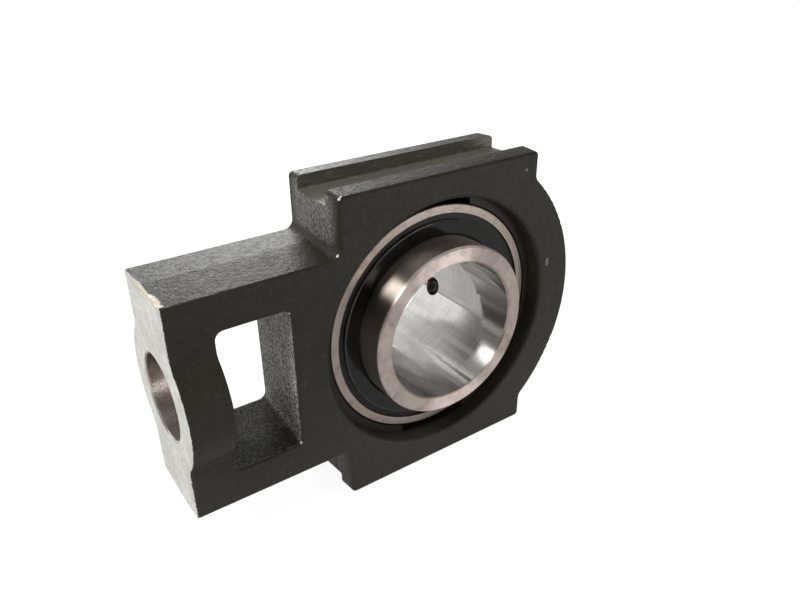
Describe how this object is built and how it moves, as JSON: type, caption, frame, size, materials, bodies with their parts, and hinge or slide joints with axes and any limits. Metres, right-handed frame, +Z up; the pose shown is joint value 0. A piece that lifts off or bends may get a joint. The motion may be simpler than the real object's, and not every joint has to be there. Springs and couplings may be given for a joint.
{
  "type": "take-up bearing unit",
  "caption": "Cast iron take-up housing with guide grooves, screw hole and window, holding a self-aligning ball bearing insert with set screws.",
  "frame": {"origin": "centre of the bearing, on the shaft axis and the parting plane of the housing", "axes": "X along the housing with the take-up screw end at -X, Y along the shaft axis with the set screws at +Y, Z up"},
  "size_m": [0.2425, 0.0818, 0.1652],
  "materials": {
    "cast_iron_painted": "satin paint on rough casting, machined end and seat bare",
    "bearing_steel": "ground",
    "ball_steel": "polished",
    "cage_steel": "pressed sheet",
    "seal_rubber": "matt",
    "flinger_steel": "dark pressed sheet",
    "screw_steel": "black oxide",
    "nipple_steel": "zinc plated"
  },
  "bodies": {
    "frame_side": {"housing": "cast_iron_painted", "grease_nipple": "nipple_steel"},
    "insert": {"outer_ring": "bearing_steel", "seal_front": "seal_rubber", "seal_back": "seal_rubber"},
    "shaft_side": {"inner_ring": "bearing_steel", "flinger_front": "flinger_steel", "flinger_back": "flinger_steel"},
    "cage": {"cage_front": "cage_steel", "cage_back": "cage_steel", "cage_rivets": "cage_steel"},
    "screw_1": {"set_screw_1": "screw_steel"},
    "screw_2": {"set_screw_2": "screw_steel"},
    "check_ball": {"nipple_ball": "ball_steel"},
    "roller_01": {"ball_01": "ball_steel"},
    "roller_02": {"ball_02": "ball_steel"},
    "roller_03": {"ball_03": "ball_steel"},
    "roller_04": {"ball_04": "ball_steel"},
    "roller_05": {"ball_05": "ball_steel"},
    "roller_06": {"ball_06": "ball_steel"},
    "roller_07": {"ball_07": "ball_steel"},
    "roller_08": {"ball_08": "ball_steel"},
    "roller_09": {"ball_09": "ball_steel"},
    "roller_10": {"ball_10": "ball_steel"},
    "roller_11": {"ball_11": "ball_steel"}
  },
  "joints": [
    {"name": "insert_tilt", "type": "hinge", "parent": "frame_side", "child": "insert", "pos_m": [0, 0, 0], "axis": [1, 0, 0], "range_deg": [-2, 2]},
    {"name": "shaft_turn", "type": "hinge", "parent": "insert", "child": "shaft_side", "pos_m": [0, 0, 0], "axis": [0, 1, 0], "continuous": true},
    {"name": "cage_turn", "type": "hinge", "parent": "insert", "child": "cage", "pos_m": [0, 0, 0], "axis": [0, 1, 0], "continuous": true},
    {"name": "ball_roll_01", "type": "hinge", "parent": "cage", "child": "roller_01", "pos_m": [0.05125, 0, 0], "axis": [0, 1, 0], "continuous": true},
    {"name": "ball_roll_02", "type": "hinge", "parent": "cage", "child": "roller_02", "pos_m": [0.04311, 0, 0.02771], "axis": [0, 1, 0], "continuous": true},
    {"name": "ball_roll_03", "type": "hinge", "parent": "cage", "child": "roller_03", "pos_m": [0.02129, 0, 0.04662], "axis": [0, 1, 0], "continuous": true},
    {"name": "ball_roll_04", "type": "hinge", "parent": "cage", "child": "roller_04", "pos_m": [-0.00729, 0, 0.05073], "axis": [0, 1, 0], "continuous": true},
    {"name": "ball_roll_05", "type": "hinge", "parent": "cage", "child": "roller_05", "pos_m": [-0.03356, 0, 0.03873], "axis": [0, 1, 0], "continuous": true},
    {"name": "ball_roll_06", "type": "hinge", "parent": "cage", "child": "roller_06", "pos_m": [-0.04917, 0, 0.01444], "axis": [0, 1, 0], "continuous": true},
    {"name": "ball_roll_07", "type": "hinge", "parent": "cage", "child": "roller_07", "pos_m": [-0.04917, 0, -0.01444], "axis": [0, 1, 0], "continuous": true},
    {"name": "ball_roll_08", "type": "hinge", "parent": "cage", "child": "roller_08", "pos_m": [-0.03356, 0, -0.03873], "axis": [0, 1, 0], "continuous": true},
    {"name": "ball_roll_09", "type": "hinge", "parent": "cage", "child": "roller_09", "pos_m": [-0.00729, 0, -0.05073], "axis": [0, 1, 0], "continuous": true},
    {"name": "ball_roll_10", "type": "hinge", "parent": "cage", "child": "roller_10", "pos_m": [0.02129, 0, -0.04662], "axis": [0, 1, 0], "continuous": true},
    {"name": "ball_roll_11", "type": "hinge", "parent": "cage", "child": "roller_11", "pos_m": [0.04311, 0, -0.02771], "axis": [0, 1, 0], "continuous": true},
    {"name": "set_screw_feed_1", "type": "slide", "parent": "shaft_side", "child": "screw_1", "axis": [0.9588, 0, -0.284], "range_m": [-0.0009, 0.004]},
    {"name": "set_screw_feed_2", "type": "slide", "parent": "shaft_side", "child": "screw_2", "axis": [-0.2334, 0, 0.9724], "range_m": [-0.0009, 0.004]},
    {"name": "check_ball_lift", "type": "slide", "parent": "frame_side", "child": "check_ball", "axis": [-1, 0, 0], "range_m": [0, 0.0008], "stiffness_N_per_m": 50, "springref_m": -0.002}
  ],
  "couplings": [
    {"joint": "cage_turn", "follows": "shaft_turn", "ratio": 0.41482},
    {"joint": "ball_roll_01", "follows": "shaft_turn", "ratio": -2.8498},
    {"joint": "ball_roll_02", "follows": "shaft_turn", "ratio": -2.8498},
    {"joint": "ball_roll_03", "follows": "shaft_turn", "ratio": -2.8498},
    {"joint": "ball_roll_04", "follows": "shaft_turn", "ratio": -2.8498},
    {"joint": "ball_roll_05", "follows": "shaft_turn", "ratio": -2.8498},
    {"joint": "ball_roll_06", "follows": "shaft_turn", "ratio": -2.8498},
    {"joint": "ball_roll_07", "follows": "shaft_turn", "ratio": -2.8498},
    {"joint": "ball_roll_08", "follows": "shaft_turn", "ratio": -2.8498},
    {"joint": "ball_roll_09", "follows": "shaft_turn", "ratio": -2.8498},
    {"joint": "ball_roll_10", "follows": "shaft_turn", "ratio": -2.8498},
    {"joint": "ball_roll_11", "follows": "shaft_turn", "ratio": -2.8498}
  ]
}
